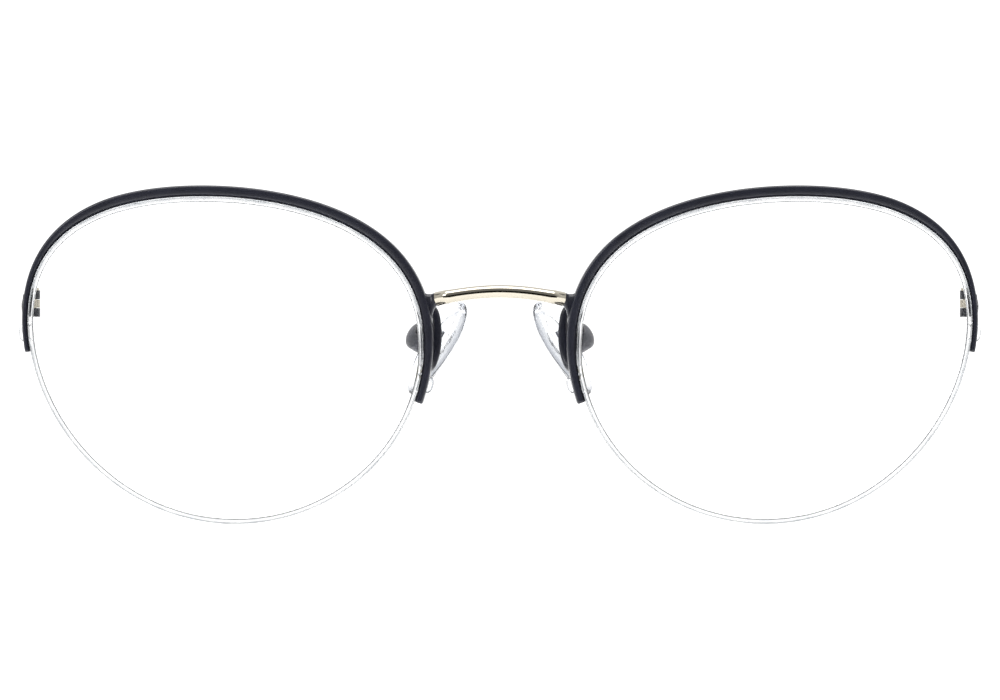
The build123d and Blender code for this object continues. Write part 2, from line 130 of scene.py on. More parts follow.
# The pad's own axes: up along it, out of its nose face, and across it
PAD_TILT = math.radians(31.0)
PAD_FLARE = math.radians(28.0)
PAD_UP = np.array([-math.sin(PAD_TILT), 0, math.cos(PAD_TILT)])
PAD_FACE = np.array([-math.cos(PAD_FLARE) * math.cos(PAD_TILT), math.sin(PAD_FLARE),
                     -math.cos(PAD_FLARE) * math.sin(PAD_TILT)])
PAD_ACROSS = np.cross(PAD_FACE, PAD_UP)
PAD_LENGTH = 14.4
PAD_THICK = 2.5
PAD_BACK = 1.5
WIRE_RADIUS = 0.5

# Temple arms and their covers
ARM_MIDDLE = 1.35
ARM_HALF_THICK = 0.4
ARM_HALF_HEIGHT = 1.4
ARM_END_DROP = 0.55
ARM_END = 94.0
TIP_HALF_HEIGHT = 1.95

# The stage, in metres
FLOOR_REACH = 30.0
CARD_AHEAD = 0.1
CARD_HALF_WIDTH = 0.14
CARD_LOW, CARD_HIGH = 0.002, 0.062
CAMERA_HEIGHT = 0.0236
SENSOR_WIDTH = 36.0


# ---------------------------------------------------------------- shapes by formula

def outline(turns, out=0.0):
    """Four cubic quarter curves between the temple, top, nose and bottom points of the lens, with
    the point moved square to the edge by a distance; turns counts quarters from the temple."""
    turns = np.mod(np.asarray(turns, float), 4.0)
    half_w, half_h = LENS_WIDTH / 2, LENS_HEIGHT / 2
    ends = np.array([(half_w, TEMPLE_POINT_UP), (TOP_POINT_OUT, half_h),
                     (-half_w, NOSE_POINT_UP), (BOTTOM_POINT_OUT, -half_h)])
    corners = np.array([(half_w, half_h), (-half_w, half_h), (-half_w, -half_h), (half_w, -half_h)])
    pulls = np.array(CORNER_PULLS)
    following = np.roll(ends, -1, axis=0)
    quarters = np.stack([ends, ends + (corners - ends) * pulls[:, :1],
                         following + (corners - following) * pulls[:, 1:], following], 1)
    index = np.minimum(turns.astype(int), 3)
    s = (turns - index)[..., None]
    a, b, c, d = (quarters[index, k] for k in range(4))
    point = (1 - s) ** 3 * a + 3 * (1 - s) ** 2 * s * b + 3 * (1 - s) * s * s * c + s ** 3 * d
    speed = 3 * ((1 - s) ** 2 * (b - a) + 2 * (1 - s) * s * (c - b) + s * s * (d - c))
    normal = np.stack([speed[..., 1], -speed[..., 0]], -1) / np.linalg.norm(speed, axis=-1, keepdims=True)
    return point + normal * np.asarray(out, float)[..., None]


def pace(turn):
    """Millimetres of lens edge in one quarter turn at this place."""
    step = 1e-4
    return float(np.linalg.norm(outline(turn + step) - outline(turn - step)) / (2 * step))


def ease(x):
    """Smooth step from 0 to 1."""
    x = np.clip(x, 0.0, 1.0)
    return x * x * (3 - 2 * x)


def rim_thickness(turns):
    """Thickest over the brow, thinner at the temple and nose ends, by two smooth steps."""
    swell = (RIM_BROW_THICK - RIM_TEMPLE_THICK) * ease(turns / 0.7)
    taper = (RIM_BROW_THICK - RIM_NOSE_THICK) * ease((turns - 1.6) / (RIM_STOP - 1.6))
    return RIM_TEMPLE_THICK + swell - taper


def sag(u, v, behind):
    """Depth of a point a distance behind the front of the lens: the front is part of a ball."""
    return FRONT_RADIUS - np.sqrt((FRONT_RADIUS - behind) ** 2 - u ** 2 - v ** 2)


def set_in_front(u, v, depth, side=1.0):
    """From the flat of the lens to the frame: turned by the wrap angle, then moved into place."""
    x = CENTRE_OUT + u * math.cos(WRAP) - depth * math.sin(WRAP)
    y = SET_BACK + u * math.sin(WRAP) + depth * math.cos(WRAP)
    return np.stack([x * side, y, v + CENTRE_UP + 0 * x], -1)


def superellipse(half_a, half_b, power, count):
    """Closed outline |a|^p + |b|^p = 1, walked by angle."""
    angle = np.arange(count) * 2 * np.pi / count
    c, s = np.cos(angle), np.sin(angle)
    return np.stack([half_a * np.sign(c) * np.abs(c) ** (2 / power),
                     half_b * np.sign(s) * np.abs(s) ** (2 / power)], -1)


def smooth_path(points, count):
    """Uniform cubic B-spline of the points, held at both ends, walked by even arc length."""
    points = np.asarray(points, float)
    ends = [2 * points[0] - points[1]], [2 * points[-1] - points[-2]]
    ctrl = np.concatenate([ends[0], points, ends[1]])
    t = np.linspace(0, len(points) - 1 - 1e-9, 40 * len(points))
    i = t.astype(int)
    f = (t - i)[:, None]
    w = [(1 - f) ** 3 / 6, (3 * f ** 3 - 6 * f ** 2 + 4) / 6,
         (-3 * f ** 3 + 3 * f ** 2 + 3 * f + 1) / 6, f ** 3 / 6]
    curve = sum(w[k] * ctrl[i + k] for k in range(4))
    return even_walk(curve, np.linspace(0, 1, count))


def even_walk(curve, shares):
    """Points at the given shares of the whole length of a curve."""
    steps = np.linalg.norm(np.diff(curve, axis=0), axis=1)
    length = np.concatenate([[0], np.cumsum(steps)])
    at = np.asarray(shares) * length[-1]
    return np.stack([np.interp(at, length, curve[:, k]) for k in range(curve.shape[1])], -1)


def round_ended(curve, radius, count):
    """Walk with extra stations near both ends, and the share of full size there: a quarter
    circle that closes each end."""
    steps = np.linalg.norm(np.diff(curve, axis=0), axis=1).sum()
    near = radius * (1 - np.cos(np.linspace(0.12, np.pi / 2, 7)))
    at = np.concatenate([near, np.linspace(radius, steps - radius, count)[1:-1], (steps - near)[::-1]])
    gap = np.minimum(at, steps - at)
    size = np.sqrt(np.clip(1 - np.clip(1 - gap / radius, 0, 1) ** 2, 0.0, 1))
    return even_walk(curve, at / steps), np.maximum(size, 0.02)


def carried(path, section, across):
    """A section carried along a path. Its first axis keeps to the across direction, made square
    to the path, and its second is square to both. Section may change from place to place."""
    tangent = np.gradient(path, axis=0)
    tangent /= np.linalg.norm(tangent, axis=1, keepdims=True)
    across = np.broadcast_to(np.asarray(across, float), path.shape)
    first = across - (across * tangent).sum(1, keepdims=True) * tangent
    first /= np.linalg.norm(first, axis=1, keepdims=True)
    second = np.cross(tangent, first)
    section = np.broadcast_to(section, (len(path),) + section.shape[-2:])
    return path[:, None] + section[..., :1] * first[:, None] + section[..., 1:] * second[:, None]


def ring(radius, count):
    """Round section."""
    return superellipse(radius, radius, 2.0, count)


# ---------------------------------------------------------------- meshes

def skin(rings, close_ends=True):
    """Faces between closed rings, with a point at the middle of each end."""
    n, m = rings.shape[:2]
    index = np.arange(n * m).reshape(n, m)
    nxt = np.roll(index, -1, axis=1)
    quads = np.stack([index[:-1], nxt[:-1], nxt[1:], index[1:]], -1).reshape(-1, 4)
    verts = rings.reshape(-1, 3)
    faces = quads.tolist()
    if close_ends:
        middle = np.array([rings[0].mean(0), rings[-1].mean(0)])
        verts = np.concatenate([verts, middle])
        first, last = n * m, n * m + 1
        faces += np.stack([nxt[0], index[0], np.full(m, first)], -1).tolist()
        faces += np.stack([index[-1], nxt[-1], np.full(m, last)], -1).tolist()
    return verts, faces


def rod_shell(curve, rounding, count, section, across):
    """One section carried along a curve and drawn in to a rounded end at both its ends."""
    path, size = round_ended(curve, rounding, count)
    return skin(carried(path, section * size[:, None, None], across))


def volume_sign(verts, faces):
    """Signed volume by summed tetrahedra about the origin."""
    tris = [(f[0], f[k], f[k + 1]) for f in faces for k in range(1, len(f) - 1)]
    a, b, c = (verts[np.array(tris)[:, k]] for k in range(3))
    return float(np.einsum("ij,ij->i", a, np.cross(b, c)).sum())


def make_piece(name, shells, node, material, sharp=None, edge=None):
    """One object from closed shells given in millimetres, faces outward, riding with its node.
    Edge gives each point a share from 0 to 1 of painted shade, which the clear finishes lay on as a grey edge
    colour."""
    verts, faces, start = [], [], 0
    for shell_verts, shell_faces in shells:
        if volume_sign(shell_verts, shell_faces) < 0:
            shell_faces = [f[::-1] for f in shell_faces]
        verts.append(shell_verts)
        faces += [[i + start for i in f] for f in shell_faces]
        start += len(shell_verts)
    mesh = bpy.data.meshes.new(name)
    mesh.from_pydata((np.concatenate(verts) * MM).tolist(), [], faces)
    mesh.validate()
    mesh.shade_smooth()
    if sharp is not None:
        mesh.set_sharp_from_angle(angle=math.radians(sharp))
    mesh.materials.append(material)
    # Painted shade: each point's share of the grey edge colour of the clear finishes
    if edge is not None:
        mesh.attributes.new("painted_edge_shade", "FLOAT", "POINT").data.foreach_set("value", edge)
    piece = bpy.data.objects.new(name, mesh)
    bpy.context.scene.collection.objects.link(piece)
    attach(piece, BODY_OF[node])
    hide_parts(node)


def repaint(node, material):
    """Give a CAD piece that shows as it is one material."""
    mesh = frame["nodes"][node].data
    mesh.materials.clear()
    mesh.materials.append(material)


def mirrored(points, side):
    """The points as they are for the right side, and flipped in X for the left."""
    return points * np.array([side, 1.0, 1.0])


# ---------------------------------------------------------------- materials

class Nodes:
    """Short way to add and join shader nodes."""

    def __init__(self, name):
        self.material = bpy.data.materials.new(name)
        self.material.use_nodes = True
        self.tree = self.material.node_tree
        self.shader = self.tree.nodes["Principled BSDF"]
        self.place = self.add("ShaderNodeTexCoord").outputs["Object"]

    def add(self, kind, **values):
        """A new node with sockets joined or set by name, and other settings likewise."""
        node = self.tree.nodes.new(kind)
        for key, value in values.items():
            if isinstance(value, bpy.types.NodeSocket):
                self.tree.links.new(value, node.inputs[key])
            elif key in node.inputs:
                node.inputs[key].default_value = value
            else:
                setattr(node, key, value)
        return node

    def noise(self, scale, detail=3.0, rough=0.55, squeeze=None):
        """Noise over the piece's own coordinates, drawn out along an axis by squeeze."""
        source = self.place
        if squeeze:
            mapping = self.add("ShaderNodeMapping", Vector=source)
            mapping.inputs["Scale"].default_value = squeeze
            source = mapping.outputs["Vector"]
        node = self.add("ShaderNodeTexNoise", Vector=source, Scale=scale, Detail=detail, Roughness=rough)
        return node.outputs["Fac"]

    def spread(self, source, low, high, start=0.3, stop=0.7):
        """Map a value from start and stop to low and high."""
        limits = {"From Min": start, "From Max": stop, "To Min": low, "To Max": high}
        return self.add("ShaderNodeMapRange", Value=source, **limits).outputs["Result"]

    def blend(self, source, low, high, start=0.3, stop=0.7):
        """Colour between low and high, by a value from start to stop."""
        ramp = self.add("ShaderNodeValToRGB", Fac=source)
        ramp.color_ramp.elements[0].position = start
        ramp.color_ramp.elements[1].position = stop
        ramp.color_ramp.elements[0].color = (*low, 1)
        ramp.color_ramp.elements[1].color = (*high, 1)
        return ramp.outputs["Color"]

    def bump(self, source, strength, distance):
        """Raise the surface by a value."""
        node = self.add("ShaderNodeBump", Height=source, Strength=strength, Distance=distance)
        self.tree.links.new(node.outputs["Normal"], self.shader.inputs["Normal"])

    def set(self, **values):
        """Join or set sockets of the surface shader."""
        for key, value in values.items():
            name = key.replace("_", " ")
            if isinstance(value, bpy.types.NodeSocket):
                self.tree.links.new(value, self.shader.inputs[name])
            else:
                self.shader.inputs[name].default_value = value
        return self


def enamel(name, dark, light, rough):
    """Baked enamel: a fine orange peel, slow drifts of tone and small changes of gloss."""
    m = Nodes(name)
    drift = m.noise(260, 4)
    grain = m.noise(9000, 2)
    m.set(Base_Color=m.blend(drift, dark, light), Roughness=m.spread(grain, rough - 0.05, rough + 0.07))
    m.set(Metallic=0.0, IOR=1.45, Specular_IOR_Level=0.4, Coat_Weight=0.1, Coat_Roughness=0.2)
    m.bump(grain, 0.1, 0.00002)
    return m.material


def polished(name, dark, light, rough, along):
    """Plated metal with hairline polishing marks along the wire."""
    m = Nodes(name)
    lines = m.noise(2600, 3, 0.6, squeeze=along)
    tone = m.noise(180, 3)
    m.set(Base_Color=m.blend(tone, dark, light), Roughness=m.spread(lines, rough, rough + 0.09), Metallic=1.0)
    m.bump(lines, 0.08, 0.00001)
    return m.material


def clear(name, tint, edge, ior, rough, ripple):
    """Clear moulded plastic: faint tint, grey painted shade laid along the edges by a share given
    with the piece, small ripples left by the mould, fine haze."""
    m = Nodes(name)
    wave = m.noise(420, 2)
    haze = m.noise(3000, 2)
    body = m.blend(wave, tint, (1, 1, 1))
    # Painted shade: the piece's per-point share turns the body colour toward the grey edge colour
    share = m.add("ShaderNodeAttribute", attribute_name="painted_edge_shade").outputs["Fac"]
    mixed = m.add("ShaderNodeMix", data_type="RGBA")
    for socket, value in ((0, share), (6, body)):
        m.tree.links.new(value, mixed.inputs[socket])
    mixed.inputs[7].default_value = (*edge, 1)
    m.set(Base_Color=mixed.outputs[2], Roughness=m.spread(haze, rough, rough + 0.03))
    m.set(Transmission_Weight=1.0, IOR=ior)
    m.bump(wave, ripple, 0.0002)
    return m.material


def painted_rib_shade(name, dark, light, pitch):
    """Stamped metal with fine ribs that have no relief, only painted shade and painted highlight in dark and light
    stripes: a sine of the distance along the pad's width.
    """
    m = Nodes(name)
    split = m.add("ShaderNodeSeparateXYZ", Vector=m.place)
    out = m.add("ShaderNodeMath", operation="ABSOLUTE")
    m.tree.links.new(split.outputs["X"], out.inputs[0])
    spot = m.add("ShaderNodeCombineXYZ", X=out.outputs[0], Y=split.outputs["Y"], Z=split.outputs["Z"])
    dot = m.add("ShaderNodeVectorMath", operation="DOT_PRODUCT")
    m.tree.links.new(spot.outputs[0], dot.inputs[0])
    dot.inputs[1].default_value = tuple(PAD_ACROSS * [-1, 1, 1] * (2 * math.pi / (pitch * MM)))
    wave = m.add("ShaderNodeMath", operation="SINE")
    m.tree.links.new(dot.outputs["Value"], wave.inputs[0])
    grain = m.noise(700, 2)
    m.set(Base_Color=m.blend(m.spread(wave.outputs[0], 0, 1, -0.6, 0.6), dark, light), Metallic=0.6,
          Roughness=m.spread(grain, 0.25, 0.35))
    return m.material


MATERIALS = {}


def finishes():
    """Every finish that the pieces take, made once."""
    if MATERIALS:
        return MATERIALS
    navy = tuple(settings().rim_colour)
    gold = tuple(settings().bridge_colour)
    MATERIALS.update(
        navy_enamel=enamel("navy_enamel", tuple(0.7 * c for c in navy), navy, 0.3),
        grey_enamel=enamel("grey_enamel", (0.035, 0.037, 0.047), (0.06, 0.062, 0.075), 0.42),
        pale_gold=polished("pale_gold", tuple(0.93 * c for c in gold), gold, 0.05, (0.08, 1, 1)),
        gold_arm=polished("gold_arm", tuple(0.93 * c for c in gold), gold, 0.12, (1, 0.08, 1)),
        # Pad metal: painted shade and painted highlight of ribs as dark and light stripes
        pad_metal=painted_rib_shade("pad_metal", (0.03, 0.035, 0.06), (0.6, 0.62, 0.66), 0.75),
        # The second colour given to each clear finish is its painted edge shade; only the lenses and pads give a
        # share of it
        clear_lens=clear("clear_lens", (1, 1, 1), (0.32, 0.33, 0.34), 1.498, 0.0, 0.0),
        nylon=clear("nylon", (0.66, 0.68, 0.7), (0.5, 0.5, 0.5), 1.45, 0.03, 0.05),
        clear_pad=clear("clear_pad", (0.88, 0.9, 0.92), (0.36, 0.38, 0.42), 1.38, 0.05, 0.2),
        clear_acetate=clear("clear_acetate", (0.96, 0.97, 0.98), (0.7, 0.7, 0.7), 1.3, 0.03, 0.05))
    return MATERIALS


# ---------------------------------------------------------------- settings

class EyeglassSettings(bpy.types.PropertyGroup):
    """What can be changed in the sidebar before the pieces are built"""
    rim_colour: bpy.props.FloatVectorProperty(
        name="Rim colour", description="Enamel on the brow rims", default=(0.012, 0.013, 0.021),
        subtype="COLOR", min=0, max=1)
    bridge_colour: bpy.props.FloatVectorProperty(
        name="Bridge colour", description="Plating on the bridge and temples", default=(0.43, 0.4, 0.335),
        subtype="COLOR", min=0, max=1)
    rim_depth: bpy.props.FloatProperty(
        name="Rim depth", description="Rim size from front to back, in millimetres",
        default=2.15, min=1, max=3)
    cord_width: bpy.props.FloatProperty(
        name="Cord width", description="Diameter of the nylon cord, in millimetres",
        default=0.54, min=0.3, max=0.8)
    pad_crown: bpy.props.FloatProperty(
        name="Pad crown", description="How far the pad faces bulge, in millimetres",
        default=0.45, min=0, max=1)
    camera_distance: bpy.props.FloatProperty(
        name="Camera distance", description="From the lenses to the camera", default=1.2, unit="LENGTH")
    view_width: bpy.props.FloatProperty(
        name="View width", description="Width of the view at the lenses", default=0.1353, unit="LENGTH")


def settings():
    """The values set in the sidebar."""
    return bpy.context.scene.eyeglass_settings


# ---------------------------------------------------------------- rims

def rim_profile(thick, depth, channel):
    """Cross-section of the rim: a bar with rounded outer corners, a thin set-back lip on its
    inner side at front and back, and the channel between the lips. First axis outward, second
    from front to back; half of it is drawn and the other half is its mirror image."""
    half = depth / 2
    step = half - LIP_THICK
    lip = np.array([(0, CHANNEL_HALF), (0, step - 0.06), (0.06, step), (0.2, step), (0.24, step + 0.04),
                    (0.24, half - 0.14), (0.29, half - 0.04), (0.38, half)])
    small = 0.45 + 0.55 * np.minimum(1.0, thick / RIM_BROW_THICK)
    start = np.stack([channel * small, np.full_like(thick, CHANNEL_HALF)], -1)[:, None]
    lips = lip * np.stack([small, np.ones_like(small)], -1)[:, None]
    bend = np.linspace(0, np.pi / 2, 8)
    corner = np.stack([RIM_ROUNDING * (np.sin(bend) - 1), half + RIM_ROUNDING * (np.cos(bend) - 1)], -1)
    corners = corner + np.stack([thick, np.zeros_like(thick)], -1)[:, None]
    upper = np.concatenate([start, lips, corners], 1)
    return np.concatenate([upper, upper[:, ::-1] * [1, -1]], 1)


def rim_shell(side, depth):
    """The section carried along the brow, drawn in by a quarter circle at both ends, where the
    channel runs out."""
    start_pace, stop_pace = pace(RIM_START), pace(RIM_STOP)
    near = RIM_END_ROUND * (1 - np.cos(np.linspace(0, np.pi / 2, 7)))
    turns = np.concatenate([RIM_START + near / start_pace,
                            np.linspace(RIM_START + 0.5 / start_pace, RIM_STOP - 0.5 / stop_pace, 260),
                            (RIM_STOP - near / stop_pace)[::-1]])
    gap = np.minimum((turns - RIM_START) * start_pace, (RIM_STOP - turns) * stop_pace)
    rings = rim_profile(rim_thickness(turns), depth, CHANNEL_DEPTH * ease((gap - 0.1) / 0.4))
    shrink = 0.72 + 0.28 * np.sqrt(1 - np.clip(1 - gap / RIM_END_ROUND, 0, 1) ** 2)
    middle = rings.mean(1, keepdims=True)
    rings = middle + (rings - middle) * shrink[:, None, None]
    spots = outline(turns[:, None], RIM_GAP + rings[..., 0])
    base = outline(turns)
    depth_mid = sag(base[:, 0], base[:, 1], GROOVE_MID)
    return skin(set_in_front(spots[..., 0], spots[..., 1], depth_mid[:, None] + rings[..., 1], side))


def web_shell(side):
    """Web between rim and bridge: upright rounded sections. The lower edge falls toward the rim
    by a power of the distance and the top edge sinks a little, then rises into the rim."""
    share = np.linspace(0, 1, 48)
    x = LENS_GAP / 2 - 2.1 + 2.2 * share
    fall = np.clip((x - x[0]) / 1.0, 0, 1)
    top = 9.3 - 0.3 * ease(fall) + 0.45 * np.clip((x - x[0] - 1.3) / 0.7, 0, 1) ** 2
    low = 7.36 - 2.9 * fall ** 2.2
    middle, half = (top + low) / 2, (top - low) / 2
    y = SET_BACK + BRIDGE_SEAT_BACK - 0.25 * (1 - ease(share / 0.4))
    section = superellipse(1.0, 1.0, 2.6, 36)
    size = np.sqrt(1 - (1 - np.clip(share / 0.06, 0.02, 1)) ** 2)
    ring_y = y[:, None] + (size * (0.96 - 0.12 * ease(share / 0.7)))[:, None] * section[:, 0]
    ring_z = CENTRE_UP + middle[:, None] + (half * size)[:, None] * section[:, 1]
    rings = np.stack([np.broadcast_to(x[:, None], ring_y.shape) * side, ring_y, ring_z], -1)
    return skin(rings)


class EYEGLASS_OT_rims(bpy.types.Operator):
    """Brow rims with lips and channel, and the webs that carry the bridge"""
    bl_idname = "eyeglass.rims"
    bl_label = "Brow rims"

    def execute(self, context):
        paint = finishes()
        for name, side in SIDES.items():
            shells = [rim_shell(side, settings().rim_depth), web_shell(side)]
            make_piece(name + "_brow_rim", shells, name + "_rim", paint["navy_enamel"], 38)
        return {"FINISHED"}


# ---------------------------------------------------------------- bridge

def bridge_curve():
    """Bow: height falls with a power of the distance from the middle, and both ends turn back
    toward the rims by a smooth step."""
    x = np.linspace(-8.7, 8.7, 400)
    share = np.abs(x) / 8.5
    z = CENTRE_UP + 9.33 - 1.0 * share ** 1.85
    y = SET_BACK + BRIDGE_SEAT_BACK - 1.45 + 1.1 * ease((share - 0.8) / 0.25)
    return np.stack([x, y, z], -1)


class EYEGLASS_OT_bridge(bpy.types.Operator):
    """Bent round wire between the rims"""
    bl_idname = "eyeglass.bridge"
    bl_label = "Bridge"

    def execute(self, context):
        paint = finishes()
        path, size = round_ended(bridge_curve(), 0.2, 160)
        flare = BRIDGE_RADIUS * (1 + 0.08 * ease((np.abs(path[:, 0]) - 6.0) / 1.6))
        shells = [skin(carried(path, ring(1.0, 40) * (flare * size)[:, None, None], (0, 1, 0)))]
        make_piece("bridge_bow", shells, "bridge", paint["pale_gold"])
        return {"FINISHED"}


# ---------------------------------------------------------------- lenses, liners and cords

def lens_shell(side):
    """Front and back are parts of two balls with one centre. Rings run from the middle of the
    front, over a bevel, down the edge, round the groove and back to the middle of the back."""
    turns = np.arange(320) * 4 / 320
    scale = np.sin(np.linspace(0.02, np.pi / 2, 26))[:-1]
    wide, bevel = 0.34, LENS_BEVEL
    rim = outline(turns, -bevel - 0.02)
    rings = [(rim * s, 0.0, 0.0) for s in scale]
    # Third number of each edge ring: its share of painted shade, grey on the bevels and the groove floor for the
    # dark lines light makes at a glass edge
    edge = [(-bevel, 0.0, 1.0), (0.0, bevel, 1.0), (0.0, GROOVE_MID - wide, 0.3)]
    for angle in np.linspace(0, np.pi, 13)[1:-1]:
        deep = np.sin(angle)
        edge.append((-GROOVE_DEPTH * deep ** 0.5, GROOVE_MID - wide * np.cos(angle), float(deep > 0.6)))
    edge += [(0.0, GROOVE_MID + wide, 0.3), (0.0, LENS_THICK - bevel, 1.0), (-bevel, LENS_THICK, 1.0)]
    rings += [(outline(turns, out), behind, tone) for out, behind, tone in edge]
    rings += [(rim * s, LENS_THICK, 0.0) for s in scale[::-1]]
    points = [set_in_front(p[:, 0], p[:, 1], sag(p[:, 0], p[:, 1], behind), side) for p, behind, _ in rings]
    tone = np.concatenate([np.repeat([t for _, _, t in rings], len(turns)), [0.0, 0.0]])
    return skin(np.array(points)), tone


def along_groove(turns, out, behind=GROOVE_MID):
    """Points in line with the groove at a distance outside the lens edge, in the lens flat."""
    spots = outline(turns, out)
    base = outline(turns, 0 * np.asarray(turns, float))
    return np.concatenate([spots, sag(base[:, 0], base[:, 1], behind)[:, None]], -1)


def holes():
    """Places of the two cord holes at the nose end and the two at the temple end, in quarter
    turns, the one nearer the rim's end first."""
    inward = HOLE_FROM_END, HOLE_FROM_END + HOLE_SPACING
    nose = [RIM_STOP - d / pace(RIM_STOP) for d in inward]
    temple = [RIM_START + d / pace(RIM_START) for d in inward]
    return nose, temple


def cord_path():
    """One line: tail inside the upper nose hole, out and down the outside, in at the lower hole,
    round the groove, and the same again at the temple end."""
    nose, temple = holes()
    lift_nose = float(rim_thickness(nose[0])) + 0.42
    lift_temple = float(rim_thickness(temple[0])) + 0.3
    inside = -CORD_SINK
    first = [(nose[1] - 0.012, inside), (nose[1], inside), (nose[1], 0.5), (nose[1], lift_nose),
             (sum(nose) / 2, lift_nose + 0.12), (nose[0], lift_nose), (nose[0], 0.5), (nose[0], inside)]
    last = [(temple[0], inside), (temple[0], 0.4), (temple[0], lift_temple),
            (sum(temple) / 2, lift_temple + 0.05), (temple[1], lift_temple), (temple[1], 0.4),
            (temple[1], inside), (temple[1] + 0.012, inside)]
    run = [(t, inside) for t in np.linspace(nose[0] + 0.03, 4 + temple[0] - 0.03, 60)]
    spots = np.array(first + run + [(4 + t, out) for t, out in last])
    return smooth_path(along_groove(spots[:, 0], spots[:, 1]), 620)


class EYEGLASS_OT_lenses(bpy.types.Operator):
    """Grooved meniscus lenses"""
    bl_idname = "eyeglass.lenses"
    bl_label = "Lenses"

    def execute(self, context):
        paint = finishes()
        for name, side in SIDES.items():
            shell, tone = lens_shell(side)
            make_piece(name + "_clear_lens", [shell], name + "_lens", paint["clear_lens"],
                       25, tone)
        return {"FINISHED"}


class EYEGLASS_OT_nylon(bpy.types.Operator):
    """Liners in the rim channels and cords in the lower lens grooves"""
    bl_idname = "eyeglass.nylon"
    bl_label = "Nylon"

    def execute(self, context):
        paint = finishes()
        nose, temple = holes()
        turns = np.linspace(temple[1] + 1.2 / pace(temple[1]), nose[1] - 1.2 / pace(nose[1]), 400)
        depth = CHANNEL_DEPTH + RIM_GAP
        strip = along_groove(turns, (depth - LINER_SINK) / 2 + 0 * turns)
        flat = superellipse(LINER_HALF, (depth + LINER_SINK) / 2 - 0.06, 3.0, 20)
        cord = cord_path()
        for name, side in SIDES.items():
            lined = set_in_front(strip[:, 0], strip[:, 1], strip[:, 2], side)
            make_piece(name + "_rim_liner", [rod_shell(lined, 0.2, 300, flat, (0, 1, 0))],
                       name + "_groove_liner", paint["nylon"])
            laid = set_in_front(cord[:, 0], cord[:, 1], cord[:, 2], side)
            round_cord = ring(settings().cord_width / 2, 14)
            make_piece(name + "_lens_cord", [rod_shell(laid, 0.25, 600, round_cord, (0, 1, 0))],
                       name + "_nylon_cord", paint["nylon"])
        return {"FINISHED"}


# ---------------------------------------------------------------- nose pads

def from_pad(points):
    """From the pad's own axes, up the pad, across it and toward the nose, to the frame."""
    up, across, out = points[..., :1], points[..., 1:2], points[..., 2:]
    return np.array(PAD_AT) + up * PAD_UP + across * PAD_ACROSS + out * PAD_FACE


def pad_shell(side, crown):
    """Drop outline, wide at the top, by a cosine law on the half width. Slices run from the
    middle of the back over a bead, round the edge, and over the other bead to the middle of the
    nose face; the bead is a smooth hump just inside the edge."""
    angle = np.arange(84) * 2 * np.pi / 84
    half = PAD_THICK / 2
    x = PAD_LENGTH / 2 * np.cos(angle)
    y = (3.35 + 0.72 * np.cos(angle)) * np.sin(angle)
    share = np.sin(np.linspace(0.02, np.pi / 2, 34)) ** 0.8
    body = (1 - share ** 7) ** 0.5
    bead = 0.22 * np.exp(-((share - 0.8) / 0.09) ** 2)
    rise = (half - crown) * body * (1 - 0.12 * (1 - share)) + bead * body
    rise = rise + crown * (1 - share ** 2) * 0.55
    size = np.concatenate([share, share[-2::-1]])
    height = np.concatenate([-rise, rise[-2::-1]])
    rings = np.stack([size[:, None] * x, size[:, None] * y, PAD_BACK + half + height[:, None] + 0 * x], -1)
    # Painted shade: a grey band along the pad's outline and a fainter grey line just inside it, for the dark lines
    # light bent through the clear pad gives
    tone = 0.9 * np.clip((size - 0.86) / 0.1, 0, 1) + 0.5 * np.exp(-((size - 0.72) / 0.03) ** 2)
    tone = np.concatenate([np.repeat(tone, len(angle)), [0.0, 0.0]])
    return skin(mirrored(from_pad(rings), side)), tone


def box_shell(side):
    """Turned cup: radius against height, with a domed back and a small bevel at its mouth."""
    angle = np.linspace(0, np.pi / 2, 12)
    radius, depth, dome = 1.95, 0.95, 1.0
    profile = [(0.02, -depth - dome)]
    profile += [(radius * np.sin(a), -depth - dome * np.cos(a)) for a in angle[1:]]
    profile += [(radius, depth - 0.12), (radius - 0.12, depth), (radius - 0.5, depth),
                (radius - 0.57, depth - 0.08), (radius - 0.62, -depth + 0.4), (0.02, -depth + 0.3)]
    profile = np.array(profile)
    turn = np.arange(48) * 2 * np.pi / 48
    rings = np.stack([profile[:, :1] * np.cos(turn), profile[:, :1] * np.sin(turn),
                      np.broadcast_to(profile[:, 1:], (len(profile), 48))], -1)
    return skin(mirrored(from_pad(rings), side))


def turned(profile, count=28):
    """A profile of radius against height, turned about the across axis of the pad."""
    profile = np.array(profile, float)
    turn = np.arange(count) * 2 * np.pi / count
    return np.stack([profile[:, :1] * np.cos(turn), np.broadcast_to(profile[:, 1:], (len(profile), count)),
                     profile[:, :1] * np.sin(turn)], -1)


def arm_path():
    """Wire from the back of the rim, up in front of the pad, over and down to the pad box."""
    root = np.array([LENS_GAP / 2 - 0.75, 2.9, -1.2])
    return np.array([root, root + [-0.5, 1.2, 0.1], root + [-1.1, 1.9, 2.0], root + [-1.3, 2.1, 4.4],
                     root + [-1.25, 2.3, 6.6], root + [-0.9, 2.5, 8.2], root + [-0.1, 2.9, 8.4],
                     root + [0.6, 3.2, 7.6], root + [1.1, 3.7, 6.2], root + [1.5, 4.2, 4.9]])


def wire_shell(side):
    """Pad arm: round wire pressed into a leaf over its first three quarters, by a squared sine."""
    wire = smooth_path(arm_path() + np.array([0, SET_BACK, CENTRE_UP]), 200)
    path, size = round_ended(mirrored(wire, side), 0.2, 150)
    share = np.linspace(0, 1, len(path))
    leaf = 1 + 0.28 * np.sin(np.pi * np.clip(share / 0.75, 0, 1)) ** 2
    section = superellipse(WIRE_RADIUS, WIRE_RADIUS, 2.2, 24) * size[:, None, None]
    return skin(carried(path, section * np.stack([leaf, 1 / leaf], -1)[:, None], (1, 0, 0.001)))


def screw_shell(side):
    """Pad screw: shank through the box, step and low domed head."""
    profile = [(0.02, -1.9), (0.42, -1.9), (0.45, -1.85), (0.45, 1.95), (0.74, 1.95), (0.74, 2.15),
               (0.62, 2.31), (0.35, 2.39), (0.02, 2.39)]
    return skin(mirrored(from_pad(turned(profile)), side))


